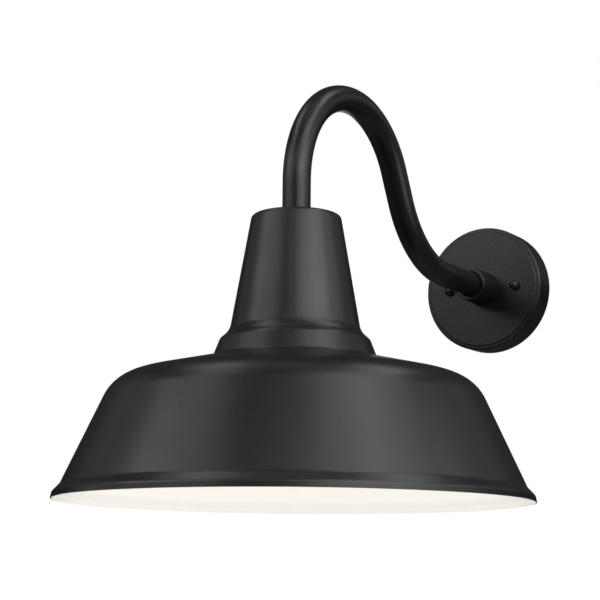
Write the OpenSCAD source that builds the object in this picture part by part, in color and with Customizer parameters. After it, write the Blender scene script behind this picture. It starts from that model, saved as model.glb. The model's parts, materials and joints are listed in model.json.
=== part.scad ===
// Gooseneck wall lantern: wall plate, collar, bent arm, spun shade, lampholder and bulb.
// The wall is the plane y = 0 and the lantern stands out from it along -Y, with +Z up.

/* [Wall plate] */
// Diameter of the wall plate
plate_d = 127; // [115:1:150]
// Depth of the wall plate from the wall to its face
plate_depth = 25.4; // [24:0.2:32]
// Sheet thickness of the wall plate
plate_t = 1.6; // [1:0.1:2.2]
// Distance between the two mounting studs
stud_spacing = 73; // [68:1:80]

/* [Arm] */
// Outer diameter of the arm tube
tube_d = 24; // [22:0.5:27]
// Wall thickness of the arm tube
tube_t = 1.5; // [1:0.1:2]
// Distance from the wall to the start of the first bend
first_straight = 113; // [95:1:140]
// Radius of the rising bend
rise_r = 98; // [70:1:120]
// Slope of the straight stretch between the bends, in degrees
rise_angle = 63; // [50:1:75]
// Length of the sloping straight stretch
slope_length = 30; // [10:1:60]
// Radius of the bend from the slope to the crest
crest_r = 86; // [60:1:110]
// Radius of the bend from the crest down to the shade
drop_r = 94; // [60:1:110]
// Length of the collar that holds the arm
collar_length = 30; // [24:1:40]

/* [Shade] */
// Diameter of the shade across its rim
rim_d = 393; // [370:1:430]
// Height of the shade from its rim to the top of its neck
shade_h = 239; // [230:1:260]
// Diameter across the top of the neck
neck_top_d = 75; // [70:1:90]
// Diameter of the neck at its foot
neck_foot_d = 109; // [96:1:120]
// Height of the foot of the neck above the rim
neck_foot_h = 140.2; // [136:0.2:150]
// Diameter of the step ring under the neck, at its foot
ring_foot_d = 137; // [130:1:150]
// Height of the foot of the step ring above the rim
ring_foot_h = 117.6; // [114:0.2:124]
// Diameter at the corner of the shoulder
shoulder_d = 298; // [270:1:320]
// Height of the corner of the shoulder above the rim
shoulder_h = 99.2; // [92:0.2:108]
// Width of the flared lip
lip_w = 7.3; // [4:0.1:14]
// Height of the flared lip
lip_h = 11.7; // [9:0.1:18]
// Sheet thickness of the shade
shade_t = 1.2; // [0.8:0.1:1.6]
// Level of the top of the neck against the middle of the wall plate
neck_level = 3; // [-20:1:12]

/* [Bulb] */
// Widest diameter of the bulb
bulb_d = 60; // [50:1:64]
// Length of the bulb from its tip to its crown
bulb_length = 112; // [105:1:120]

/* [Hidden] */
$fn = 96;

// Clearance of a running thread or a push fit, on the radius
fit_gap = 0.05;
// Steps in a rounded corner of an outline
corner_steps = 8;

// Threaded stem that carries the wires (3/8 in pipe thread size, hollow)
stem_r = 5.1;
stem_bore_r = 3.5;
lock_nut_flats = 16;
lock_nut_h = 4;
lock_washer_r = 9;
lock_washer_h = 1;

// Mounting studs and their nuts (No. 8 thread, 32 turns per inch)
stud_r = 2.05;
stud_x = stud_spacing / 2;
stud_nut_flats = 8.7;
stud_nut_h = 3.2;
stud_start = 0.6;
bar_t = 2;
box_bar_half = 52;
box_bar_w = 22;
stud_bar_half = 46;
stud_bar_w = 20;
box_slot_z = 39.7;
box_slot_r = 2.4;
box_slot_length = 14.3;
ground_screw_x = 20;
ground_screw_r = 2.4;
ground_head_h = 3;
ground_head_r = 4.6;
ground_flange_r = 5.4;
ground_flange_h = 0.8;
rivet_wall = 1;
rivet_head_w = 2;
rivet_head_h = 0.8;

// Wall plate edge: a rounded shoulder, a step up and the flat face
plate_r = plate_d / 2;
shoulder_depth = plate_depth - 1.3;
face_r = plate_r - 4.4;
stud_hole_play = 0.4;
gasket_t = 3;
gasket_w = 4.7;
gasket_play = 0.2;
gasket_r = plate_r - plate_t - gasket_play;

// Cap nuts on the face of the wall plate
seal_t = 0.8;
seal_r = 4.6;
cap_r = 4.75;
cap_base = plate_depth + seal_t;
cap_skirt = 1.3;
cap_thread_depth = 4.3;
stud_end = cap_base + 4.1;

// Collar on the wall plate
collar_foot_r = 17.5;
collar_mouth_r = 16.7;
collar_floor = 6;
tube_r = tube_d / 2;
tube_bore_r = tube_r - tube_t;
tube_start = plate_depth + collar_floor + 0.6;
grub_at = plate_depth + collar_length * 0.66;
grub_r = 2.5;
grub_socket_r = 1.45;
grub_depth = 0.6;

// Arm centreline in the plane x = 0, as [distance from the wall, height]
slope_out = [cos(rise_angle), sin(rise_angle)];
rise_end = [first_straight, 0] + rise_r * [sin(rise_angle), 1 - cos(rise_angle)];
slope_end = rise_end + slope_length * slope_out;
crest = slope_end + crest_r * [sin(rise_angle), 1 - cos(rise_angle)];
crest_flat = 0.5;
shade_y = -(crest.x + crest_flat + drop_r);
rim_level = neck_level - shade_h;

// How much thinner a bend is than the straight tube, and how far the straights lap into it
bend_thinning = 0.01;
bend_lap = 0.06;

// Levels at the top of the shade
gasket_h = 1;
tube_foot = neck_level + gasket_h;
bush_h = 12;
neck_roof = neck_level - shade_t;
lock_washer_top = neck_roof;
lock_nut_top = lock_washer_top - lock_washer_h;
socket_cap_top = lock_nut_top - lock_nut_h;

// Levels of the lampholder
hub_h = 9;
hub_r = 8;
cap_roof_t = 2;
socket_cap_r = 21;
socket_cap_t = 1.6;
socket_cap_h = 28;
stem_foot = socket_cap_top - hub_h;
cap_roof = stem_foot - cap_roof_t;
body_top = cap_roof - 7;
body_r = 19;
body_h = 42;
body_foot = body_top - body_h;
cavity_r = 14.6;
cavity_h = 33;
cavity_roof = body_foot + cavity_h;
shell_bore_r = 13.4;
shell_wall = 0.6;
shell_h = 29;
contact_drop = 4;
socket_screw_r = 1.5;
socket_screw_at = 16.8;
lead_hole_x = 9.5;
socket_head_r = 2.1;
socket_head_h = 1.6;
socket_head_at = 1.4;
contact_w = 6;

// Levels of the bulb, counted down from its tip
tip_top = cavity_roof - contact_drop - 0.05;
tip_h = 1.6;
insulator_h = 4.4;
base_r = 13.05;
base_h = 20;
base_top = tip_top - tip_h - insulator_h;
base_foot = base_top - base_h;
bulb_foot = tip_top - bulb_length;
bulb_r = bulb_d / 2;
globe_middle = bulb_foot + bulb_r;
housing_t = 1.6;
board_t = 1.6;
board_play = 0.7;
globe_t = 1.2;
globe_steps = 24;
// Angle above the globe's middle where it meets the housing
seam_angle = asin(0.38);
seam_level = globe_middle + bulb_r * sin(seam_angle);
seam_r = bulb_r * cos(seam_angle);

// Step ring under the neck: the neck flares out above it, and its own side slopes
neck_flare_h = 7;
ring_slope_w = 6;
// Where the lip turns down, in from the rim and above it, and the rise of the outer corner of its edge
lip_turn_w = 1.2;
lip_turn_h = 5.4;
lip_edge_rise = 0.26;

// Wiring
lead_r = 1.2;
lead_x = 1.4;
lead_lift = 0.9;
lead_bend = 5;
lead_splay = 3.4;
lead_grip = 7;
wire_nut_from = 14;
wire_nut_length = 22;
wire_nut_r = 5.4;
wire_nut_at = plate_depth - 17.4;
base_stem_end = plate_depth - 12.4;

// Ring terminals of the ground lead, one on the stem and one on the ground screw
ring_t = 0.8;
barrel_r = 1.7;
barrel_length = 5;
barrel_rise = 2.2;
stem_ring_top = plate_depth - plate_t - lock_washer_h;
stem_ring_reach = 10;
screw_ring_reach = 7;
ground_bend = 5;
stem_terminal_r = 9.4;
screw_terminal_r = 4.6;

// ---------- outline helpers ----------

// Direction of a vector
function unit(v) = v / norm(v);

// A 2D point turned about the origin
function turned(p, angle) = [p.x * cos(angle) - p.y * sin(angle), p.x * sin(angle) + p.y * cos(angle)];

// The arc of radius r that rounds the corner p between a and b
function corner(a, p, b, r) =
  let (
    to_a = unit(a - p),
    to_b = unit(b - p),
    half = acos(to_a * to_b) / 2,
    middle = p + unit(to_a + to_b) * r / sin(half),
    start = p + to_a * r / tan(half) - middle,
    sweep = -sign(cross(to_a, to_b)) * (180 - 2 * half)
  )
  [for (i = [0:corner_steps]) middle + turned(start, sweep * i / corner_steps)];

function flat_point(p) = [p.x, p.y];

// An open outline of [x, y, radius] points with its inner corners rounded
function rounded(path) = [
  for (i = [0:len(path) - 1])
    each (i == 0 || i == len(path) - 1 || path[i][2] == 0)
      ? [flat_point(path[i])]
      : corner(flat_point(path[i - 1]), flat_point(path[i]), flat_point(path[i + 1]), path[i][2])
];

// The normal on the right of the stretch from a to b
function right_of(a, b) = let (d = unit(b - a)) [d.y, -d.x];

// The normal at point i of an outline
function normal_at(path, i) =
  let (
    last = len(path) - 1,
    before = i == 0 ? right_of(path[0], path[1]) : right_of(path[i - 1], path[i]),
    after = i == last ? before : right_of(path[i], path[i + 1])
  )
  unit(before + after) / cos(acos(min(1, before * after)) / 2);

// The outline moved sideways by a distance
function beside(path, distance) = [for (i = [0:len(path) - 1]) path[i] + distance * normal_at(path, i)];

function reversed(path) = [for (i = [len(path) - 1:-1:0]) path[i]];

// ---------- placing helpers ----------

// Draws its children with their Z axis out of the wall, starting at a distance from it
module from_wall(distance = 0) translate([0, -distance, 0]) rotate([90, 0, 0]) children();

// Draws its children on the vertical axis of the shade
module on_shade_axis(level = 0) translate([0, shade_y, level]) children();

// Draws its children at both mounting studs
module at_studs(distance) for (side = [-1, 1])
  translate([side * stud_x, 0, 0]) from_wall(distance) children();

module ring(outer, inner, height) linear_extrude(height) difference() {
  circle(outer);
  circle(inner);
}

module hex_nut(flats, bore, height) linear_extrude(height) difference() {
  circle(flats / sqrt(3), $fn = 6);
  circle(bore, $fn = 48);
}

// A closed ring cut through on one side, as a split lock washer is
module lock_washer(outer, inner, height) difference() {
  ring(outer, inner, height);
  translate([0, -0.4, -1]) cube([outer * 2, 0.8, height + 2]);
}

// ---------- rods along a route ----------

module rod_section(outer, bore) difference() {
  circle(outer);
  if (bore > 0) circle(bore);
}

// A round rod or tube that starts along +Z. Each step is a straight [length, 0, 0] or a bend
// [radius, angle, roll], where the roll turns the side that it bends to: 0 is -X and 90 is -Y.
// Straights and bends take turns. A bend is a hair thinner, and the straights lap into it at both ends.
module rod(steps, outer, bore = 0, i = 0) {
  if (i < len(steps)) {
    size = steps[i][0];
    angle = steps[i][1];
    roll = steps[i][2];
    if (angle == 0) {
      back = i == 0 ? 0 : bend_lap;
      ahead = i == len(steps) - 1 ? 0 : bend_lap;
      translate([0, 0, -back]) linear_extrude(size + back + ahead) rod_section(outer, bore);
      translate([0, 0, size]) rod(steps, outer, bore, i + 1);
    } else rotate([0, 0, roll]) {
      translate([-size, 0, 0]) rotate([90, 0, 0])
        rotate_extrude(angle = angle) translate([size, 0])
          rod_section(outer - bend_thinning, bore > 0 ? bore + bend_thinning : 0);
      translate([-size, 0, 0]) rotate([0, -angle, 0]) translate([size, 0, 0]) rotate([0, 0, -roll])
        rod(steps, outer, bore, i + 1);
    }
  }
}

// Rolls of a bend that starts out from the wall
up = -90;
down = 90;

function straight(length) = [length, 0, 0];
function bend(radius, angle, roll) = [radius, angle, roll];

// The arm's steps from one distance off the wall down to a level below the crest.
// lift shifts the route off the centreline, to the outside of the crest.
function arm_steps(from, to, lift = 0) = [
  straight(first_straight - from),
  bend(rise_r - lift, rise_angle, up),
  straight(slope_length),
  bend(crest_r + lift, rise_angle, down),
  straight(crest_flat),
  bend(drop_r + lift, 90, down),
  straight(crest.y - drop_r - to)
];

// ---------- wall side ----------

module wall_gasket() color("#2b2b2b") from_wall() ring(gasket_r, gasket_r - gasket_w, gasket_t);

module box_bar() color("silver") from_wall() linear_extrude(bar_t) difference() {
  square([box_bar_w, box_bar_half * 2], center = true);
  circle(stem_r);
  for (side = [-1, 1]) translate([0, side * box_slot_z]) {
    for (end = [-1, 1]) translate([0, end * (box_slot_length / 2 - box_slot_r)]) circle(box_slot_r);
    square([box_slot_r * 2, box_slot_length - box_slot_r * 2], center = true);
  }
}

module stud_bar() color("silver") from_wall(bar_t) linear_extrude(bar_t) difference() {
  square([stud_bar_half * 2, stud_bar_w], center = true);
  circle(stem_r);
  for (side = [-1, 1]) translate([side * stud_x, 0]) circle(stud_r);
  translate([ground_screw_x, 0]) circle(ground_screw_r);
}

module bracket_rivet() color("gray") {
  from_wall() ring(stem_r, stem_r - rivet_wall, bar_t * 2);
  from_wall(bar_t * 2) ring(stem_r + rivet_head_w, stem_r - rivet_wall, rivet_head_h);
}

module ground_screw() color("green") translate([ground_screw_x, 0, 0]) {
  from_wall(0.4) cylinder(r = ground_screw_r, h = bar_t * 2 + 0.4);
  from_wall(bar_t * 2 + ring_t) difference() {
    union() {
      cylinder(r = ground_flange_r, h = ground_flange_h);
      cylinder(r = ground_head_r, h = ground_head_h, $fn = 6);
    }
    translate([-4, -0.5, ground_head_h - 1]) cube([8, 1, 2]);
  }
}

module mounting_studs() color("silver") at_studs(stud_start)
  cylinder(r = stud_r, h = stud_end - stud_start);

module stud_nuts() color("silver") at_studs(bar_t * 2) hex_nut(stud_nut_flats, stud_r, stud_nut_h);

module wall_plate() color("#26272b") from_wall() {
  outside = rounded([
    [plate_r, 0, 0],
    [plate_r, shoulder_depth, 2.2],
    [face_r + 0.5, shoulder_depth, 0.4],
    [face_r, plate_depth, 1],
    [stem_r, plate_depth, 0]
  ]);
  inside = rounded([
    [stem_r, plate_depth - plate_t, 0],
    [face_r - 1.2, plate_depth - plate_t, 1.2],
    [plate_r - plate_t, shoulder_depth - plate_t - 0.8, 1],
    [plate_r - plate_t, 0, 0]
  ]);
  difference() {
    rotate_extrude() polygon(concat(outside, inside));
    for (side = [-1, 1]) translate([side * stud_x, 0, plate_depth - plate_t - 1])
      cylinder(r = stud_r + stud_hole_play, h = plate_t + 2);
  }
}

module seal_washer(side) color("#1c1c1c") translate([side * stud_x, 0, 0])
  from_wall(plate_depth) ring(seal_r, stud_r + fit_gap, seal_t);

module left_seal_washer() seal_washer(-1);

module right_seal_washer() seal_washer(1);

// A ball-shaped nut with a blind threaded hole in its flat foot
module cap_nut(side) color("#26272b")
  translate([side * stud_x, 0, 0]) from_wall(cap_base) rotate_extrude() {
  dome = [for (i = [0:16]) [cap_r * cos(i * 90 / 16), cap_skirt + cap_r * sin(i * 90 / 16)]];
  bore = stud_r + fit_gap;
  polygon(concat(
    [[bore, 0], [cap_r - 0.5, 0], [cap_r, 0.5]],
    dome,
    [[0, cap_thread_depth + 0.6], [bore, cap_thread_depth]]
  ));
}

module left_cap_nut() cap_nut(-1);

module right_cap_nut() cap_nut(1);

// ---------- arm ----------

module arm_collar() color("#26272b") {
  outside = rounded([
    [stem_r, 0, 0],
    [collar_foot_r, 0, 0],
    [collar_mouth_r, collar_length, 1.2],
    [tube_r + 1.2, collar_length, 0]
  ]);
  inside = [
    [tube_r + fit_gap, collar_length - 1.4],
    [tube_r + fit_gap, collar_floor],
    [stem_r, collar_floor]
  ];
  difference() {
    from_wall(plate_depth) rotate_extrude() polygon(concat(outside, inside));
    translate([0, -grub_at, -collar_foot_r - 2]) cylinder(r = grub_r, h = collar_foot_r - tube_r + 4);
  }
}

module grub_screw() color("#3a3a3a") translate([0, -grub_at, grub_depth - collar_mouth_r]) difference() {
  cylinder(r = grub_r, h = collar_mouth_r - tube_r - grub_depth);
  translate([0, 0, -1]) cylinder(r = grub_socket_r, h = 3, $fn = 6);
}

module base_nipple() color("#c9a24a")
  from_wall(base_stem_end) ring(stem_r, stem_bore_r, plate_depth + collar_floor - base_stem_end);

module base_lock_washer() color("silver")
  from_wall(plate_depth - plate_t - lock_washer_h) lock_washer(lock_washer_r, stem_r, lock_washer_h);

module base_lock_nut() color("#c9a24a")
  from_wall(stem_ring_top - ring_t - lock_nut_h) hex_nut(lock_nut_flats, stem_r, lock_nut_h);

module arm_tube() color("#26272b")
  from_wall(tube_start) rod(arm_steps(tube_start, tube_foot), tube_r, tube_bore_r);

module arm_end_bush() color("gray") on_shade_axis(tube_foot) ring(tube_bore_r, stem_r, bush_h);

// ---------- shade ----------

module neck_gasket() color("#1c1c1c") on_shade_axis(neck_level) ring(tube_r - 0.4, stem_r, gasket_h);

module shade() color("#26272b") {
  rim_r = rim_d / 2;
  outside = rounded([
    [stem_r, shade_h, 0],
    [neck_top_d / 2, shade_h, 4],
    [neck_foot_d / 2, neck_foot_h, 16],
    [ring_foot_d / 2 - ring_slope_w, neck_foot_h - neck_flare_h, 5],
    [ring_foot_d / 2, ring_foot_h, 2],
    [shoulder_d / 2, shoulder_h, 36],
    [rim_r - lip_w, lip_h, 8],
    [rim_r - lip_turn_w, lip_turn_h, 5],
    [rim_r, lip_edge_rise, 0]
  ]);
  on_shade_axis(rim_level) rotate_extrude($fn = 128)
    polygon(concat(outside, reversed(beside(outside, shade_t))));
}

module shade_lock_washer() color("silver")
  on_shade_axis(lock_washer_top - lock_washer_h) lock_washer(lock_washer_r, stem_r, lock_washer_h);

module shade_lock_nut() color("#c9a24a")
  on_shade_axis(lock_nut_top - lock_nut_h) hex_nut(lock_nut_flats, stem_r, lock_nut_h);

module socket_nipple() color("#c9a24a")
  on_shade_axis(stem_foot) ring(stem_r, stem_bore_r, tube_foot + bush_h - stem_foot);

// ---------- lampholder ----------

module at_socket_screws() for (side = [-1, 1]) translate([0, side * socket_screw_at, 0]) children();

module socket_cap() color("#d8d8d4") on_shade_axis() difference() {
  rotate_extrude() polygon(concat(
    rounded([
      [stem_r, socket_cap_top, 0],
      [hub_r, socket_cap_top, 0.8],
      [hub_r, stem_foot, 1],
      [socket_cap_r, stem_foot, 2],
      [socket_cap_r, socket_cap_top - socket_cap_h, 0]
    ]),
    [
      [socket_cap_r - socket_cap_t, socket_cap_top - socket_cap_h],
      [socket_cap_r - socket_cap_t, cap_roof],
      [stem_r, cap_roof]
    ]
  ));
  at_socket_screws() translate([0, 0, cap_roof - 1]) cylinder(r = socket_screw_r, h = cap_roof_t + 2);
}

module socket_body() color("ivory") on_shade_axis() difference() {
  rotate_extrude() polygon(concat(
    rounded([
      [0, body_top, 0],
      [body_r, body_top, 1],
      [body_r, body_foot, 2],
      [cavity_r, body_foot, 0]
    ]),
    [[cavity_r, cavity_roof], [0, cavity_roof]]
  ));
  for (side = [-1, 1]) translate([side * lead_hole_x, lead_lift, body_top - lead_grip])
    cylinder(r = lead_r, h = lead_grip + 1);
  at_socket_screws() {
    translate([0, 0, body_foot - 1]) cylinder(r = socket_screw_r, h = body_h + 2);
    translate([0, 0, body_foot - 1]) cylinder(r = socket_head_r + 0.1, h = 4);
  }
}

module socket_screws() color("silver") on_shade_axis() at_socket_screws() {
  translate([0, 0, body_foot + 3]) cylinder(r = socket_screw_r, h = cap_roof + 1.4 - body_foot - 3);
  translate([0, 0, body_foot + socket_head_at]) difference() {
    cylinder(r = socket_head_r, h = socket_head_h);
    translate([-3, -0.35, -1]) cube([6, 0.7, 1.8]);
  }
}

module screw_shell() color("#c9a24a") on_shade_axis(cavity_roof - shell_h) rotate_extrude() polygon([
  [shell_bore_r, 0],
  [shell_bore_r + shell_wall, 0],
  [shell_bore_r + shell_wall, shell_h],
  [8, shell_h],
  [8, shell_h - shell_wall],
  [shell_bore_r, shell_h - shell_wall]
]);

// A springy brass tongue that bends down from the roof of the socket
module centre_contact() color("#c9a24a") on_shade_axis(cavity_roof) rotate([90, 0, 0])
  translate([0, 0, -contact_w / 2]) linear_extrude(contact_w) polygon([
    [-6.5, 0], [-6.5, -0.5], [-3.5, -0.5], [-1.5, -contact_drop], [2.5, -contact_drop],
    [3.5, -contact_drop + 0.9], [3, -contact_drop + 1.2], [2.2, -contact_drop + 0.5],
    [-1.2, -contact_drop + 0.5], [-3.2, 0]
  ]);

module contact_rivets() color("#c9a24a") on_shade_axis() {
  translate([-5, 0, cavity_roof - 1.1]) cylinder(r = 1.4, h = 0.6);
  translate([11, 0, cavity_roof - shell_wall - 0.6]) cylinder(r = 1.6, h = 0.6);
}

// ---------- wiring ----------

// A supply lead, from its wire nut behind the wall plate through the arm into the lampholder.
// side is -1 or 1 along x. The lead at -1 comes down from its wire nut and the other one comes up.
module supply_lead(side) {
  start_z = wire_nut_from + lead_grip;
  way_out = side < 0 ? 0 : 180;
  bend_level = stem_foot - 1;
  translate([side * lead_x, -wire_nut_at, -side * start_z]) rotate([side < 0 ? 180 : 0, 0, 0]) rod(
    concat(
      [
        straight(start_z - lead_bend - side * lead_lift),
        bend(lead_bend, 90, side < 0 ? up : down)
      ],
      arm_steps(wire_nut_at + lead_bend, bend_level, -lead_lift),
      [
        bend(lead_splay, 90, way_out),
        straight(lead_hole_x - lead_x - 2 * lead_splay),
        bend(lead_splay, 90, 180 - way_out),
        straight(bend_level - 2 * lead_splay - body_top + lead_grip)
      ]
    ),
    lead_r
  );
}

module black_lead() color("#151515") supply_lead(-1);

module white_lead() color("white") supply_lead(1);

// The short earth lead from the stem to the ground screw
module ground_lead() color("green") {
  start = stem_ring_reach + 0.5;
  upper_level = stem_ring_top - barrel_rise;
  lower_level = bar_t * 2 + barrel_rise;
  from_wall(upper_level) rotate([0, 0, 45]) translate([start, 0, 0]) rotate([0, 90, 0]) rod(
    [
      straight(ground_screw_x * sqrt(2) - ground_bend - start),
      bend(ground_bend, 90, 180),
      straight(upper_level - lower_level - 2 * ground_bend),
      bend(ground_bend, 90, 135),
      straight(ground_screw_x - ground_bend - screw_ring_reach - 0.5)
    ],
    lead_r
  );
}

// A flat ring with a tongue and a crimped barrel for a wire end, along +X
module ring_terminal(bore, outer, reach) {
  linear_extrude(ring_t) difference() {
    union() {
      circle(outer);
      translate([0, -2]) square([reach + 2, 4]);
    }
    circle(bore);
  }
  translate([reach, 0, barrel_rise]) rotate([0, 90, 0]) ring(barrel_r, lead_r, barrel_length);
}

module ring_terminals() color("silver") {
  from_wall(stem_ring_top) rotate([0, 0, 45]) rotate([180, 0, 0])
    ring_terminal(stem_r, stem_terminal_r, stem_ring_reach);
  from_wall(bar_t * 2) translate([ground_screw_x, 0, 0]) rotate([0, 0, 90])
    ring_terminal(ground_screw_r, screw_terminal_r, screw_ring_reach);
}

// Twist-on connector with a hollow mouth
module wire_nut(up) translate([0, -wire_nut_at, up * wire_nut_from]) rotate([up < 0 ? 180 : 0, 0, 0])
  rotate_extrude() polygon([
    [lead_r, 0], [wire_nut_r, 0], [wire_nut_r, 3], [3.6, wire_nut_length - 2], [2.6, wire_nut_length],
    [0, wire_nut_length], [0, 9], [lead_r, 9]
  ]);

module wire_nuts() color("orange") {
  translate([-lead_x, 0, 0]) wire_nut(1);
  translate([lead_x, 0, 0]) wire_nut(-1);
}

// ---------- bulb ----------

module bulb_globe() color("white") on_shade_axis() rotate_extrude() {
  angles = [for (i = [0:globe_steps]) -90 + (90 + seam_angle) * i / globe_steps];
  outer = [for (a = angles) [bulb_r * cos(a), globe_middle + bulb_r * sin(a)]];
  inner = [for (a = angles) [(bulb_r - globe_t) * cos(a), globe_middle + (bulb_r - globe_t) * sin(a)]];
  polygon(concat(outer, reversed(inner)));
}

module bulb_housing() color("white") on_shade_axis() {
  outside = rounded([
    [base_r - 1, base_foot, 0],
    [base_r + 0.4, base_foot - 0.6, 0],
    [base_r + 0.6, base_foot - 7, 8],
    [base_r + 5, base_foot - 17, 30],
    [seam_r, seam_level, 0]
  ]);
  rotate_extrude() polygon(concat(outside, reversed(beside(outside, housing_t))));
}

module led_board() color("white") on_shade_axis(seam_level - 0.3)
  cylinder(r = seam_r - housing_t - board_play, h = board_t);

module led_driver() color("darkgreen") on_shade_axis() {
  translate([-board_t / 2, -9, base_foot - 24]) cube([board_t, 18, 26]);
  translate([board_t / 2, -3, base_foot - 20]) rotate([0, 90, 0]) cylinder(r = 4, h = 6);
  translate([-5 - board_t / 2, -4, base_foot - 18]) cube([5, 8, 9]);
}

module bulb_screw_base() color("silver") on_shade_axis(base_foot) rotate_extrude() polygon([
  [base_r - 1.4, 0],
  [base_r, 0],
  [base_r, base_h - 3],
  [base_r - 3, base_h],
  [base_r - 3.6, base_h],
  [base_r - 1.4, base_h - 3.6]
]);

module bulb_insulator() color("#1a1a1a") on_shade_axis(base_top) rotate_extrude() polygon([
  [0, 0], [base_r - 3.1, 0], [base_r - 4.2, 1.6], [5.2, insulator_h], [0, insulator_h]
]);

module bulb_tip() color("silver") on_shade_axis(base_top + insulator_h) rotate_extrude() polygon([
  [0, 0], [4.6, 0], [4.2, 0.8], [2.6, tip_h], [0, tip_h]
]);

wall_gasket();
box_bar();
stud_bar();
bracket_rivet();
ground_screw();
mounting_studs();
stud_nuts();
wall_plate();
left_seal_washer();
right_seal_washer();
left_cap_nut();
right_cap_nut();
arm_collar();
grub_screw();
base_nipple();
base_lock_washer();
base_lock_nut();
arm_tube();
arm_end_bush();
neck_gasket();
shade();
shade_lock_washer();
shade_lock_nut();
socket_nipple();
socket_cap();
socket_body();
socket_screws();
screw_shell();
centre_contact();
contact_rivets();
black_lead();
white_lead();
ground_lead();
ring_terminals();
wire_nuts();
bulb_globe();
bulb_housing();
led_board();
led_driver();
bulb_screw_base();
bulb_insulator();
bulb_tip();
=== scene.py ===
"""Looks of a gooseneck wall lantern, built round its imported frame. Metres, the frame's own axes."""
import json
import math

import bmesh
import bpy
from mathutils import Matrix, Vector


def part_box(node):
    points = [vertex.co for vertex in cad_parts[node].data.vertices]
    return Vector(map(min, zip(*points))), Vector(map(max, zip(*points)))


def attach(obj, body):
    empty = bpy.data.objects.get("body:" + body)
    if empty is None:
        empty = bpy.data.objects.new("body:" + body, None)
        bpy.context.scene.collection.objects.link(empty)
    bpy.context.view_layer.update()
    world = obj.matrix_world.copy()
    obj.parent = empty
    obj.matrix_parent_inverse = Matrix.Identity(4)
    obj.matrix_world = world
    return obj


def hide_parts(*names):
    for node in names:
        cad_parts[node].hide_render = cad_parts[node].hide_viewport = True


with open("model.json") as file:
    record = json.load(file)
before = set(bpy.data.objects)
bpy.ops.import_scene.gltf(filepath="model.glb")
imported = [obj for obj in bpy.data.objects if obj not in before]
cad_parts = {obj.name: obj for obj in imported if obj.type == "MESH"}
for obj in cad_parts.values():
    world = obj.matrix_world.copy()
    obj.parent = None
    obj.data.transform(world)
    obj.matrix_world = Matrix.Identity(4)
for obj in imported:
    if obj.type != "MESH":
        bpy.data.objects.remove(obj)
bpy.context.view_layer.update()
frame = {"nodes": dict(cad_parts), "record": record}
MM = 0.001

# ---------- places taken from the frame ----------

shade_low, shade_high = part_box("shade")
SHADE_X = (shade_low.x + shade_high.x) / 2
SHADE_Y = (shade_low.y + shade_high.y) / 2
RIM_Z = shade_low.z


# ---------- camera ----------

CAMERA_AZIMUTH = math.radians(32.011)
CAMERA_DISTANCE = 1.3382
CAMERA_DROP = 0.0729
CAMERA_PITCH = math.radians(10.18)
CAMERA_YAW = math.radians(0.158)
CAMERA_ROLL = math.radians(0.542)
CAMERA_LENS = 98.05


def make_camera():
    """The photo's viewpoint, measured from the middle of the rim, with the small turn and roll it has."""
    heading = Vector((-math.sin(CAMERA_AZIMUTH), math.cos(CAMERA_AZIMUTH), 0))
    side = Vector((math.cos(CAMERA_AZIMUTH), math.sin(CAMERA_AZIMUTH), 0))
    up = Vector((0, 0, 1))
    ahead = heading * math.cos(CAMERA_YAW) + side * math.sin(CAMERA_YAW)
    side = side * math.cos(CAMERA_YAW) - heading * math.sin(CAMERA_YAW)
    look = ahead * math.cos(CAMERA_PITCH) + up * math.sin(CAMERA_PITCH)
    top = up * math.cos(CAMERA_PITCH) - ahead * math.sin(CAMERA_PITCH)
    rolled_side = side * math.cos(CAMERA_ROLL) + top * math.sin(CAMERA_ROLL)
    rolled_top = top * math.cos(CAMERA_ROLL) - side * math.sin(CAMERA_ROLL)
    data = bpy.data.cameras.new("camera")
    data.lens = CAMERA_LENS
    camera = bpy.data.objects.new("camera", data)
    bpy.context.scene.collection.objects.link(camera)
    rim_centre = Vector((SHADE_X, SHADE_Y, RIM_Z))
    camera.location = rim_centre - heading * CAMERA_DISTANCE - up * CAMERA_DROP
    camera.rotation_mode = "QUATERNION"
    camera.rotation_quaternion = Matrix((rolled_side, rolled_top, -look)).transposed().to_quaternion()
    bpy.context.scene.camera = camera


# ---------- light and floor ----------

# Metres from the rim down to the floor, and from the middle to the floor's edges
FLOOR_DROP = 2.4
FLOOR_REACH = 40
# Share of evenly lit paper in what the camera sees of the floor, and its brightness
FLOOR_GLOW = 0.96
GLOW_LEVEL = 0.99
# The dome is dark at the horizon and full above this height of the unit sphere
DOME_STRENGTH = 0.05
DOME_FULL_AT = 0.3

# Azimuth from the camera's and elevation in degrees, width and height in metres, power in watts
PANELS = {
    "left_low": (-96, 3, 0.60, 0.40, 0.9),
    "left_back": (-112, 25, 0.90, 0.60, 0.4),
    "left_side": (-77, 27, 0.65, 0.60, 2.6),
    "left_high": (-65, 52, 0.50, 0.60, 1.5),
    "left_front": (-48, 27, 0.80, 0.65, 2.8),
    "front": (-5, 34, 0.80, 0.70, 1.5),
    "right_front": (20, 25, 0.75, 0.60, 4.3),
    "right_front_high": (32, 50, 0.80, 0.60, 2.6),
    "right_side": (47, 25, 0.80, 0.60, 5.5),
    "right_side_high": (58, 50, 0.80, 0.60, 2.3),
    "right_far": (78, 25, 0.80, 0.60, 2.0),
    "right_low": (60, -3, 0.95, 0.45, 2.7),
    "right_back": (112, 25, 0.90, 0.60, 0.4),
    "left_high_back": (-100, 64, 0.50, 0.50, 1.5),
    "right_high_back": (98, 62, 0.60, 0.50, 2.2),
    "top": (0, 82, 0.60, 0.60, 0.5),
    "back": (178, 8, 0.50, 0.40, 0.8),
}
PANEL_DISTANCE = 1.6
PANEL_TARGET = Vector((SHADE_X, SHADE_Y * 0.8, RIM_Z + 0.15))

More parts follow.
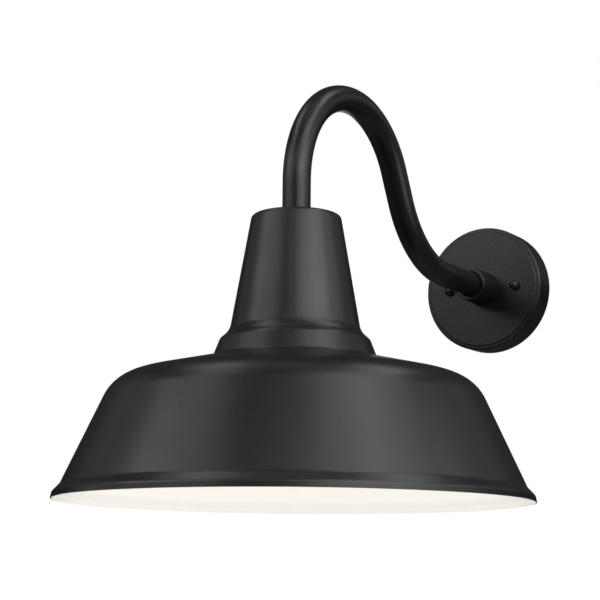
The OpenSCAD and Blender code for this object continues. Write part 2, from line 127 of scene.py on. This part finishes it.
# A disc just below the rim, for the light that the white inside shows: metres and watts
MOUTH_LIGHT = {"size": 0.385, "drop": 0.012, "watts": 0.38, "colour": (1, 0.985, 0.955)}


def area_light(name, azimuth, elevation, width, height, watts):
    """A soft panel that faces the shade. Azimuth is measured from the camera's, to the right of it."""
    data = bpy.data.lights.new(name, "AREA")
    data.shape = "RECTANGLE"
    data.size = width
    data.size_y = height
    data.energy = watts
    light = bpy.data.objects.new(name, data)
    bpy.context.scene.collection.objects.link(light)
    turn = CAMERA_AZIMUTH + math.radians(azimuth)
    lift = math.radians(elevation)
    out = Vector((math.sin(turn) * math.cos(lift), -math.cos(turn) * math.cos(lift), math.sin(lift)))
    light.location = PANEL_TARGET + out * PANEL_DISTANCE
    light.rotation_mode = "QUATERNION"
    light.rotation_quaternion = (-out).to_track_quat("-Z", "Y")
    light.visible_camera = False


def make_world():
    """White where the camera looks past the object, and a dim dome over the floor everywhere else."""
    world = bpy.data.worlds.new("studio")
    world.use_nodes = True
    nodes, links = world.node_tree.nodes, world.node_tree.links
    nodes.clear()
    direction = nodes.new("ShaderNodeTexCoord")
    split = nodes.new("ShaderNodeSeparateXYZ")
    height = nodes.new("ShaderNodeMapRange")
    height.inputs["From Max"].default_value = DOME_FULL_AT
    height.inputs["To Max"].default_value = DOME_STRENGTH
    links.new(direction.outputs["Generated"], split.inputs["Vector"])
    links.new(split.outputs["Z"], height.inputs["Value"])
    dome = nodes.new("ShaderNodeBackground")
    dome.inputs["Color"].default_value = (0.96, 0.98, 1, 1)
    links.new(height.outputs["Result"], dome.inputs["Strength"])
    paper = nodes.new("ShaderNodeBackground")
    paper.inputs["Color"].default_value = (1, 1, 1, 1)
    path = nodes.new("ShaderNodeLightPath")
    mix = nodes.new("ShaderNodeMixShader")
    out = nodes.new("ShaderNodeOutputWorld")
    links.new(path.outputs["Is Camera Ray"], mix.inputs["Fac"])
    links.new(dome.outputs["Background"], mix.inputs[1])
    links.new(paper.outputs["Background"], mix.inputs[2])
    links.new(mix.outputs["Shader"], out.inputs["Surface"])
    bpy.context.scene.world = world


def make_floor():
    """Pale paper that the camera sees evenly lit, and that throws back only the panels' own light."""
    mesh = bpy.data.meshes.new("floor")
    level = RIM_Z - FLOOR_DROP
    signs = ((-1, -1), (1, -1), (1, 1), (-1, 1))
    mesh.from_pydata([(x * FLOOR_REACH, y * FLOOR_REACH, level) for x, y in signs], [], [(0, 1, 2, 3)])
    floor = bpy.data.objects.new("floor", mesh)
    bpy.context.scene.collection.objects.link(floor)
    material, shader, tree = new_material("floor_paper")
    shader.inputs["Base Color"].default_value = (0.93, 0.93, 0.93, 1)
    shader.inputs["Roughness"].default_value = 0.9
    shader.inputs["Specular IOR Level"].default_value = 0.1
    glow = tree.nodes.new("ShaderNodeEmission")
    glow.inputs["Color"].default_value = (GLOW_LEVEL, GLOW_LEVEL, GLOW_LEVEL, 1)
    path = tree.nodes.new("ShaderNodeLightPath")
    share = tree.nodes.new("ShaderNodeMath")
    share.operation = "MULTIPLY"
    share.inputs[1].default_value = FLOOR_GLOW
    tree.links.new(path.outputs["Is Camera Ray"], share.inputs[0])
    mix = tree.nodes.new("ShaderNodeMixShader")
    tree.links.new(share.outputs["Value"], mix.inputs["Fac"])
    tree.links.new(shader.outputs["BSDF"], mix.inputs[1])
    tree.links.new(glow.outputs["Emission"], mix.inputs[2])
    tree.links.new(mix.outputs["Shader"], tree.nodes["Material Output"].inputs["Surface"])
    mesh.materials.append(material)


def make_lights():
    for name, panel in PANELS.items():
        area_light(name, *panel)


def make_mouth_light():
    """A soft disc just under the mouth of the shade that shines up into it."""
    data = bpy.data.lights.new("mouth_light", "AREA")
    data.shape = "DISK"
    data.size = MOUTH_LIGHT["size"]
    data.energy = MOUTH_LIGHT["watts"]
    data.color = MOUTH_LIGHT["colour"]
    light = bpy.data.objects.new("mouth_light", data)
    bpy.context.scene.collection.objects.link(light)
    light.location = (SHADE_X, SHADE_Y, RIM_Z - MOUTH_LIGHT["drop"])
    light.rotation_euler = (math.pi, 0, 0)
    light.visible_camera = False


# ---------- materials ----------

NOISE_RANGE = (0.3, 0.7)
# How much finer the drift of the gloss is than the drift of the colour
GLOSS_FINENESS = 2.3
# Orange peel and fine grain of the powder coat: lumps per metre and depth in metres
PEEL = {"scale": 420, "depth": 0.00012}
GRAIN = {"scale": 1700, "depth": 0.00004}
COAT_RELIEF = 0.6


def new_material(name):
    material = bpy.data.materials.new(name)
    material.use_nodes = True
    tree = material.node_tree
    shader = tree.nodes["Principled BSDF"]
    return material, shader, tree


def noise(tree, scale, detail):
    """Procedural noise in the piece's own coordinates, at a scale in lumps per metre."""
    where = tree.nodes.new("ShaderNodeTexCoord")
    lumps = tree.nodes.new("ShaderNodeTexNoise")
    lumps.inputs["Scale"].default_value = scale
    lumps.inputs["Detail"].default_value = detail
    tree.links.new(where.outputs["Object"], lumps.inputs["Vector"])
    return lumps.outputs["Fac"]


def ramp(tree, value, low, high):
    """A colour that goes from low to high as the noise does, which seldom leaves its middle range."""
    node = tree.nodes.new("ShaderNodeValToRGB")
    ends = node.color_ramp.elements
    ends[0].position, ends[1].position = NOISE_RANGE
    ends[0].color, ends[1].color = (*low, 1), (*high, 1)
    tree.links.new(value, node.inputs["Fac"])
    return node.outputs["Color"]


def bump(tree, shader, height, distance, strength=1.0, under=None):
    node = tree.nodes.new("ShaderNodeBump")
    node.inputs["Distance"].default_value = distance
    node.inputs["Strength"].default_value = strength
    tree.links.new(height, node.inputs["Height"])
    if under:
        tree.links.new(under, node.inputs["Normal"])
    tree.links.new(node.outputs["Normal"], shader.inputs["Normal"])


def surface(
    name, dark, light, rough,
    patch=40, grain=1500, grain_depth=0.00003, metallic=0.0, specular=0.5,
):
    """A material whose colour and gloss drift from place to place, over a fine grain."""
    material, shader, tree = new_material(name)
    colour = ramp(tree, noise(tree, patch, 3), dark, light)
    gloss = ramp(tree, noise(tree, patch * GLOSS_FINENESS, 4), (rough[0],) * 3, (rough[1],) * 3)
    tree.links.new(colour, shader.inputs["Base Color"])
    tree.links.new(gloss, shader.inputs["Roughness"])
    shader.inputs["Metallic"].default_value = metallic
    shader.inputs["Specular IOR Level"].default_value = specular
    bump(tree, shader, noise(tree, grain, 2), grain_depth)
    return material, shader, tree


def powder_coat():
    """Satin black powder coat: a soft orange peel with a fine grain on it."""
    material, shader, tree = surface(
        "black_powder_coat", (0.0082, 0.0082, 0.0085), (0.0096, 0.0096, 0.01), (0.31, 0.36), patch=14
    )
    peel = tree.nodes.new("ShaderNodeBump")
    peel.inputs["Distance"].default_value = PEEL["depth"]
    peel.inputs["Strength"].default_value = COAT_RELIEF
    tree.links.new(noise(tree, PEEL["scale"], 1.5), peel.inputs["Height"])
    grain = noise(tree, GRAIN["scale"], 2)
    bump(tree, shader, grain, GRAIN["depth"], COAT_RELIEF, under=peel.outputs["Normal"])
    return material


def opal_plastic():
    """White plastic that glows a little, as a lit globe does."""
    material, shader, _ = surface("opal_plastic", (0.9, 0.86, 0.78), (0.95, 0.92, 0.86), (0.35, 0.45))
    shader.inputs["Emission Color"].default_value = (1, 0.94, 0.85, 1)
    shader.inputs["Emission Strength"].default_value = 0.6
    return material


FINISHES = {
    "white_enamel": {
        "dark": (0.92, 0.9, 0.865), "light": (0.94, 0.92, 0.885), "rough": (0.28, 0.36),
        "patch": 20, "grain": 500, "grain_depth": 0.00006,
    },
    "zinc_steel": {
        "dark": (0.56, 0.57, 0.59), "light": (0.74, 0.75, 0.76), "rough": (0.28, 0.42),
        "patch": 160, "grain": 2600, "metallic": 0.85,
    },
    "black_steel": {
        "dark": (0.03, 0.03, 0.032), "light": (0.06, 0.06, 0.065), "rough": (0.35, 0.5), "metallic": 0.8,
    },
    "green_screw": {
        "dark": (0.02, 0.16, 0.05), "light": (0.05, 0.25, 0.09), "rough": (0.3, 0.42),
        "patch": 200, "metallic": 0.7,
    },
    "brass": {
        "dark": (0.66, 0.47, 0.18), "light": (0.8, 0.61, 0.3), "rough": (0.22, 0.36),
        "patch": 120, "grain": 2200, "metallic": 1,
    },
    "black_rubber": {
        "dark": (0.014, 0.014, 0.014), "light": (0.028, 0.028, 0.028), "rough": (0.68, 0.82),
        "patch": 90, "specular": 0.35,
    },
    "pressed_aluminium": {
        "dark": (0.6, 0.6, 0.61), "light": (0.74, 0.74, 0.75), "rough": (0.28, 0.42),
        "patch": 90, "metallic": 1,
    },
    "porcelain": {
        "dark": (0.8, 0.79, 0.75), "light": (0.88, 0.87, 0.84), "rough": (0.12, 0.2),
        "patch": 60, "grain": 300, "grain_depth": 0.00004,
    },
    "black_insulation": {"dark": (0.012, 0.012, 0.012), "light": (0.02, 0.02, 0.02), "rough": (0.35, 0.45)},
    "white_insulation": {"dark": (0.75, 0.75, 0.73), "light": (0.82, 0.82, 0.8), "rough": (0.35, 0.45)},
    "green_insulation": {"dark": (0.02, 0.2, 0.06), "light": (0.04, 0.27, 0.09), "rough": (0.35, 0.45)},
    "connector_plastic": {"dark": (0.62, 0.2, 0.02), "light": (0.75, 0.27, 0.03), "rough": (0.38, 0.5)},
    "bulb_plastic": {"dark": (0.78, 0.78, 0.77), "light": (0.86, 0.86, 0.85), "rough": (0.3, 0.4)},
    "led_board_white": {"dark": (0.7, 0.7, 0.69), "light": (0.8, 0.8, 0.79), "rough": (0.4, 0.5)},
    "circuit_board": {
        "dark": (0.02, 0.13, 0.05), "light": (0.03, 0.19, 0.07), "rough": (0.3, 0.4), "patch": 300,
    },
    "nickel_shell": {
        "dark": (0.55, 0.54, 0.5), "light": (0.68, 0.66, 0.62), "rough": (0.22, 0.34),
        "patch": 140, "metallic": 1,
    },
    "base_glass": {"dark": (0.01, 0.01, 0.012), "light": (0.02, 0.02, 0.024), "rough": (0.08, 0.16)},
}


def build_materials():
    made = {name: surface(name, **finish)[0] for name, finish in FINISHES.items()}
    made["black_powder_coat"] = powder_coat()
    made["opal_plastic"] = opal_plastic()
    return made


# ---------- outlines and mesh helpers ----------

def corner(before, here, after, radius, steps):
    """The arc that rounds the corner at here."""
    to_before = (before - here).normalized()
    to_after = (after - here).normalized()
    half = to_before.angle(to_after) / 2
    middle = here + (to_before + to_after).normalized() * (radius / math.sin(half))
    start = here + to_before * (radius / math.tan(half)) - middle
    turn = math.copysign(math.pi - 2 * half, -(to_before.x * to_after.y - to_before.y * to_after.x))
    arc = []
    for i in range(steps + 1):
        angle = turn * i / steps
        c, s = math.cos(angle), math.sin(angle)
        arc.append(middle + Vector((start.x * c - start.y * s, start.x * s + start.y * c)))
    return arc


def rounded(path, steps=12):
    """An open outline of (x, y, corner radius) points in millimetres, as points in metres."""
    points = [Vector(p[:2]) * MM for p in path]
    out = []
    for i, p in enumerate(points):
        inner = 0 < i < len(points) - 1 and path[i][2] > 0
        out += corner(points[i - 1], p, points[i + 1], path[i][2] * MM, steps) if inner else [p]
    return out


def beside(path, distance):
    """The outline moved to its right by a distance."""
    moved = []
    for i, p in enumerate(path):
        ahead = path[min(i + 1, len(path) - 1)] - p
        behind = p - path[max(i - 1, 0)]
        first = behind if behind.length > 0 else ahead
        second = ahead if ahead.length > 0 else behind
        a, b = first.normalized(), second.normalized()
        normal = (Vector((a.y, -a.x)) + Vector((b.y, -b.x))).normalized()
        moved.append(p + normal * (distance / math.sqrt((1 + a.dot(b)) / 2)))
    return moved


def finish_piece(mesh, slot, body, node, sharp=35):
    """Links a finished mesh as a piece that stands for a CAD node."""
    mesh.materials.append(materials[slot])
    for face in mesh.polygons:
        face.use_smooth = True
    mesh.set_sharp_from_angle(angle=math.radians(sharp))
    piece = bpy.data.objects.new(mesh.name, mesh)
    bpy.context.scene.collection.objects.link(piece)
    smooth = piece.modifiers.new("even_normals", "WEIGHTED_NORMAL")
    smooth.keep_sharp = True
    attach(piece, body)
    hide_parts(node)


def along_axis(place, across, height, out_of_wall):
    """A point at a height along the vertical axis at place, or along one that stands out of the wall."""
    if out_of_wall:
        return place + Vector((across.x, -height, across.y))
    return place + Vector((across.x, across.y, height))


def turned_solid(name, outline_at, place, out_of_wall, segments):
    """A closed outline of (radius, height) points, which may change with the angle, turned about an axis."""
    bm = bmesh.new()
    columns = []
    for k in range(segments):
        angle = math.tau * k / segments
        reach = Vector((math.cos(angle), math.sin(angle)))
        columns.append([
            bm.verts.new(along_axis(place, reach * radius, height, out_of_wall))
            for radius, height in outline_at(angle)
        ])
    for k in range(segments):
        here, ahead = columns[k - 1], columns[k]
        for i in range(len(here)):
            bm.faces.new((here[i - 1], ahead[i - 1], ahead[i], here[i]))
    bmesh.ops.remove_doubles(bm, verts=bm.verts, dist=1e-7)
    bmesh.ops.recalc_face_normals(bm, faces=bm.faces)
    mesh = bpy.data.meshes.new(name)
    bm.to_mesh(mesh)
    bm.free()
    return mesh


def revolved(name, outline, place, segments):
    """One and the same outline turned about an upright axis."""
    return turned_solid(name, lambda angle: outline, place, False, segments)


def box_middle(node):
    """The lowest corner, the highest corner and the middle of a CAD node's box."""
    low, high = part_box(node)
    return low, high, (low + high) / 2


# ---------- threads and nuts ----------

THREAD_STEPS = 10


def ridge(level, angle, pitch):
    """How far up a right-handed thread's ridge a point is, from 0 in the groove to 1 on the crest."""
    return 0.5 - 0.5 * math.cos(math.tau * (level / pitch - angle / math.tau))


def thread_levels(length, pitch):
    count = math.ceil(length / pitch * THREAD_STEPS)
    return [length * i / count for i in range(count + 1)]


def rod_thread(length, crest, depth, pitch, bore=0.0):
    """Outline maker for a threaded rod, whose thread runs out at both ends."""
    levels = thread_levels(length, pitch)

    def outline_at(angle):
        side = []
        for level in levels:
            fade = min(1, level / pitch, (length - level) / pitch)
            side.append((crest - depth + depth * ridge(level, angle, pitch) * fade, level))
        return side + [(bore, length), (bore, 0)]

    return outline_at


def shell_thread(length, crest, depth, pitch, sheet, start=0.0):
    """Outline maker for rolled sheet with a thread pressed into it. Start is the thread's phase level."""
    levels = thread_levels(length, pitch)

    def outline_at(angle):
        outside = []
        for level in levels:
            fade = min(1, 2 * level / pitch, 2 * (length - level) / pitch)
            rise = depth * ridge(start + level, angle, pitch) * fade
            outside.append((crest - depth + rise, level))
        return outside + [(radius - sheet, level) for radius, level in outside[::-1]]

    return outline_at


# The chamfer of a nut starts at this share of its half width and slopes at this angle
CHAMFER_START = 0.96
CHAMFER_SLOPE = math.radians(30)


def hexagon(flats, bore, height):
    """Outline maker for a hexagon nut with both ends chamfered and its bore countersunk."""
    flat_ring = flats / 2 * CHAMFER_START
    sink = min(0.5 * MM, height / 6)

    def outline_at(angle):
        turn = (angle % (math.pi / 3)) - math.pi / 6
        edge = flats / 2 / math.cos(turn)
        drop = (edge - flat_ring) * math.tan(CHAMFER_SLOPE)
        return [
            (bore, sink), (bore + sink, 0), (flat_ring, 0), (edge, drop),
            (edge, height - drop), (flat_ring, height), (bore + sink, height), (bore, height - sink),
        ]

    return outline_at


STEM_THREAD = {"crest": 5.1 * MM, "depth": 0.55 * MM, "pitch": 1.41 * MM, "bore": 3.5 * MM}
STUD_THREAD = {"crest": 2.05 * MM, "depth": 0.35 * MM, "pitch": 0.794 * MM}
STUD_INSET = 2.05 * MM
BULB_PITCH = 3.629 * MM
ROLLED_SHEET = 0.5 * MM


def make_studs():
    low, high, middle = box_middle("mounting_studs")
    outline_at = rod_thread(high.y - low.y, **STUD_THREAD)
    for name, x in (("stud_left", low.x + STUD_INSET), ("stud_right", high.x - STUD_INSET)):
        mesh = turned_solid(name, outline_at, Vector((x, high.y, middle.z)), True, 32)
        finish_piece(mesh, "zinc_steel", "lantern", "mounting_studs", 60)


def make_seal_washers():
    """Rubber washers with rounded edges, a hair clear of the nuts that turn on them."""
    for side in ("left", "right"):
        low, high, middle = box_middle(side + "_seal_washer")
        radius = (high.x - low.x) / 2
        hole = 2.1 * MM
        top = high.y - low.y - 0.03 * MM
        edge = 0.2 * MM
        outline = [
            (hole, edge), (hole + edge, 0), (radius - edge, 0), (radius, edge),
            (radius, top - edge), (radius - edge, top), (hole + edge, top), (hole, top - edge),
        ]
        name = side + "_washer_ring"
        place = Vector((middle.x, high.y, middle.z))
        mesh = turned_solid(name, lambda angle, outline=outline: outline, place, True, 64)
        finish_piece(mesh, "black_rubber", side + "_washer", side + "_seal_washer")


def make_stud_nuts():
    low, high, middle = box_middle("stud_nuts")
    flats = high.z - low.z
    reach = flats / math.sqrt(3)
    outline_at = hexagon(flats, STUD_INSET, high.y - low.y)
    for name, x in (("stud_nut_left", low.x + reach), ("stud_nut_right", high.x - reach)):
        mesh = turned_solid(name, outline_at, Vector((x, high.y, middle.z)), True, 72)
        finish_piece(mesh, "zinc_steel", "lantern", "stud_nuts")


def make_lock_nuts():
    low, high, middle = box_middle("base_lock_nut")
    outline_at = hexagon(high.z - low.z, STEM_THREAD["crest"], high.y - low.y)
    mesh = turned_solid("stem_nut_plate", outline_at, Vector((middle.x, high.y, middle.z)), True, 72)
    finish_piece(mesh, "brass", "lantern", "base_lock_nut")
    low, high, middle = box_middle("shade_lock_nut")
    outline_at = hexagon(high.y - low.y, STEM_THREAD["crest"], high.z - low.z)
    mesh = turned_solid("stem_nut_shade", outline_at, Vector((middle.x, middle.y, low.z)), False, 72)
    finish_piece(mesh, "brass", "lantern", "shade_lock_nut")


def make_stems():
    low, high, middle = box_middle("base_nipple")
    outline_at = rod_thread(high.y - low.y, **STEM_THREAD)
    mesh = turned_solid("stem_plate", outline_at, Vector((middle.x, high.y, middle.z)), True, 48)
    finish_piece(mesh, "brass", "lantern", "base_nipple", 60)
    low, high, middle = box_middle("socket_nipple")
    outline_at = rod_thread(high.z - low.z, **STEM_THREAD)
    mesh = turned_solid("stem_socket", outline_at, Vector((middle.x, middle.y, low.z)), False, 48)
    finish_piece(mesh, "brass", "lantern", "socket_nipple", 60)


# ---------- arm ----------

TUBE_R = 11.98 * MM
TUBE_BORE_R = 10.5 * MM
ARM_SIDES = 96
# Straights as (length, 0) and bends as (radius, turn in degrees), from the collar to the neck
ARM_STEPS = [(81, 0), (98, 63), (30, 0), (86, -63), (0.5, 0), (94, -90)]


def arm_route():
    """Stations on the arm's centreline as (distance from the wall, height, heading)."""
    low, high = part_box("arm_tube")
    out, level, heading = -high.y, 0.0, 0.0
    stations = [(out, level, heading)]
    for size, turn in ARM_STEPS:
        parts = max(1, round(abs(turn) / 2))
        for _ in range(parts):
            share = math.radians(turn) / parts
            chord = 2 * size * MM * abs(math.sin(share / 2)) if turn else size * MM
            heading += share / 2
            out += chord * math.cos(heading)
            level += chord * math.sin(heading)
            heading += share / 2
            stations.append((out, level, heading))
    stations.append((out, low.z, heading))
    return stations


def make_arm():
    """The arm as one smooth tube, swept along its route."""
    bm = bmesh.new()
    skins = []
    for radius in (TUBE_R, TUBE_BORE_R):
        rings = []
        for out, level, heading in arm_route():
            centre = Vector((SHADE_X, -out, level))
            across = Vector((0, math.sin(heading), math.cos(heading)))
            turns = [math.tau * k / ARM_SIDES for k in range(ARM_SIDES)]
            rings.append([
                bm.verts.new(centre + Vector((radius * math.cos(a), 0, 0)) + across * (radius * math.sin(a)))
                for a in turns
            ])
        skins.append(rings)
    outer, inner = skins
    strips = [(outer[i], outer[i + 1]) for i in range(len(outer) - 1)]
    strips += [(inner[i + 1], inner[i]) for i in range(len(inner) - 1)]
    strips += [(inner[0], outer[0]), (outer[-1], inner[-1])]
    for a, b in strips:
        for k in range(ARM_SIDES):
            bm.faces.new((a[k - 1], a[k], b[k], b[k - 1]))
    bmesh.ops.recalc_face_normals(bm, faces=bm.faces)
    mesh = bpy.data.meshes.new("arm")
    bm.to_mesh(mesh)
    bm.free()
    finish_piece(mesh, "black_powder_coat", "lantern", "arm_tube")


# ---------- wiring ----------

WIRE_NUT_RIBS = 16


def wire_nut_outline(angle):
    """A twist-on connector: skirt, ribbed cone and two wings."""
    rib = 0.3 * max(0, math.cos(WIRE_NUT_RIBS * angle))
    wing = max(0, abs(math.cos(angle)) - 0.93) / 0.07
    points = [(1.2, 9), (1.2, 0.6), (1.8, 0), (5.0, 0), (5.35, 0.4), (5.35, 2.6), (5.0, 3.2)]
    for level, radius in ((3.6, 4.7), (7, 4.45), (11, 4.15), (15, 3.85), (18.5, 3.55)):
        reach = 5.35 if level < 8 else 5.35 - (level - 8) * 0.16
        points.append((radius + rib + max(0, reach - radius - rib) * wing, level))
    points += [(3.3, 20), (2.7, 21.4), (1.5, 21.9), (0, 22), (0, 9)]
    return [(radius * MM, level * MM) for radius, level in points]


def make_wire_nuts():
    low, high, middle = box_middle("wire_nuts")
    reach = 5.4 * MM
    length = 22 * MM
    for name, x, foot, up in (
        ("wire_nut_upper", low.x + reach, high.z - length, 1),
        ("wire_nut_lower", high.x - reach, low.z + length, -1),
    ):
        def outline_at(angle, up=up):
            return [(radius, up * level) for radius, level in wire_nut_outline(angle)]

        mesh = turned_solid(name, outline_at, Vector((x, middle.y, foot)), False, 128)
        finish_piece(mesh, "connector_plastic", "lantern", "wire_nuts", 50)


# ---------- lampholder and bulb ----------

def make_screw_shell():
    """The lampholder's brass shell: rolled thread and turned-in roof."""
    low, high, middle = box_middle("screw_shell")
    roof_rise = 0.6 * MM
    roof_hole_r = 8 * MM
    roof_r = 13.35 * MM
    length = high.z - low.z - roof_rise
    thread = shell_thread(length, 13.95 * MM, 0.6 * MM, BULB_PITCH, ROLLED_SHEET, low.z)

    def outline_at(angle):
        wall = thread(angle)
        count = len(wall) // 2
        roof = [
            (roof_r, length + roof_rise), (roof_hole_r, length + roof_rise),
            (roof_hole_r, length + 0.1 * MM),
        ]
        return wall[:count] + roof + wall[count:]

    mesh = turned_solid("screw_shell_thread", outline_at, Vector((middle.x, middle.y, low.z)), False, 96)
    finish_piece(mesh, "brass", "lantern", "screw_shell", 50)


def make_bulb_base():
    """The bulb's nickelled shell with its rolled thread and its shoulder."""
    low, high, middle = box_middle("bulb_screw_base")
    shoulder_height = 3 * MM
    length = high.z - low.z - shoulder_height
    thread = shell_thread(length, 13.05 * MM, 0.7 * MM, BULB_PITCH, ROLLED_SHEET, low.z)

    def outline_at(angle):
        wall = thread(angle)
        count = len(wall) // 2
        shoulder = [(11.9, 0.7), (11, 1.8), (10.2, 2.7), (9.5, 3), (9.5, 2.5), (10.4, 1.6), (11.4, 0.3)]
        turned_in = [(radius * MM, length + level * MM) for radius, level in shoulder]
        return wall[:count] + turned_in + wall[count:]

    mesh = turned_solid("bulb_shell", outline_at, Vector((middle.x, middle.y, low.z)), False, 96)
    finish_piece(mesh, "nickel_shell", "bulb", "bulb_screw_base", 50)


def make_globe():
    """The bulb's opal dome, smooth from its crown to the seam."""
    low, high, middle = box_middle("bulb_globe")
    radius = (high.x - low.x) / 2
    wall = 1.2 * MM
    centre = low.z + radius
    seam = math.asin((high.z - centre) / radius)
    angles = [-math.pi / 2 + (seam + math.pi / 2) * i / 32 for i in range(33)]
    outer = [(radius * math.cos(a), radius * math.sin(a)) for a in angles]
    inner = [((radius - wall) * math.cos(a), (radius - wall) * math.sin(a)) for a in angles[::-1]]
    mesh = revolved("opal_dome", outer + inner, Vector((middle.x, middle.y, centre)), 96)
    finish_piece(mesh, "opal_plastic", "bulb", "bulb_globe")


# ---------- shade ----------

SHADE_SHEET = 1.2 * MM
ENAMEL_SHARE = 0.5
SHADE_OUTLINE = [
    (5.1, 239, 0), (37.5, 239, 4), (54.5, 140.2, 16), (62.5, 133.2, 5), (68.5, 117.6, 2),
    (149, 99.2, 36), (189.2, 11.7, 8), (195.3, 5.4, 5), (196.4, 0.26, 0),
]


def make_shade():
    """The spun sheet as two skins: black outside with the lip's edge, and white enamel inside."""
    outside = rounded(SHADE_OUTLINE)
    middle = beside(outside, SHADE_SHEET * (1 - ENAMEL_SHARE))
    inside = beside(outside, SHADE_SHEET)
    place = Vector((SHADE_X, SHADE_Y, RIM_Z))
    shell = revolved("shade_shell", outside + middle[::-1], place, 256)
    enamel = revolved("shade_enamel", middle + inside[::-1], place, 256)
    finish_piece(shell, "black_powder_coat", "lantern", "shade")
    finish_piece(enamel, "white_enamel", "lantern", "shade")


def dress_frame_nodes():
    """Gives every CAD node the finish that the record names for it."""
    for part in frame["record"]["subparts"]:
        node = frame["nodes"][part["node"]]
        node.data.materials.clear()
        node.data.materials.append(materials[part["material_slot"]])
        for face in node.data.polygons:
            face.material_index = 0


EASED_NODES = [
    "box_bar", "stud_bar", "bracket_rivet", "ground_screw", "base_lock_washer", "shade_lock_washer",
    "ring_terminals", "socket_screws", "centre_contact", "contact_rivets", "grub_screw",
]


def ease_edges():
    """Takes the knife edge off the stamped and turned parts."""
    for name in EASED_NODES:
        node = frame["nodes"][name]
        edge = node.modifiers.new("eased_edges", "BEVEL")
        edge.width = 0.15 * MM
        edge.segments = 2
        edge.limit_method = "ANGLE"
        edge.angle_limit = math.radians(50)
        even = node.modifiers.new("even_normals", "WEIGHTED_NORMAL")
        even.keep_sharp = True


bpy.context.scene.view_settings.view_transform = "Standard"
make_camera()
make_world()
make_lights()
make_mouth_light()
make_floor()
materials = build_materials()
dress_frame_nodes()
ease_edges()
make_shade()
make_arm()
make_studs()
make_stud_nuts()
make_seal_washers()
make_lock_nuts()
make_stems()
make_wire_nuts()
make_screw_shell()
make_bulb_base()
make_globe()
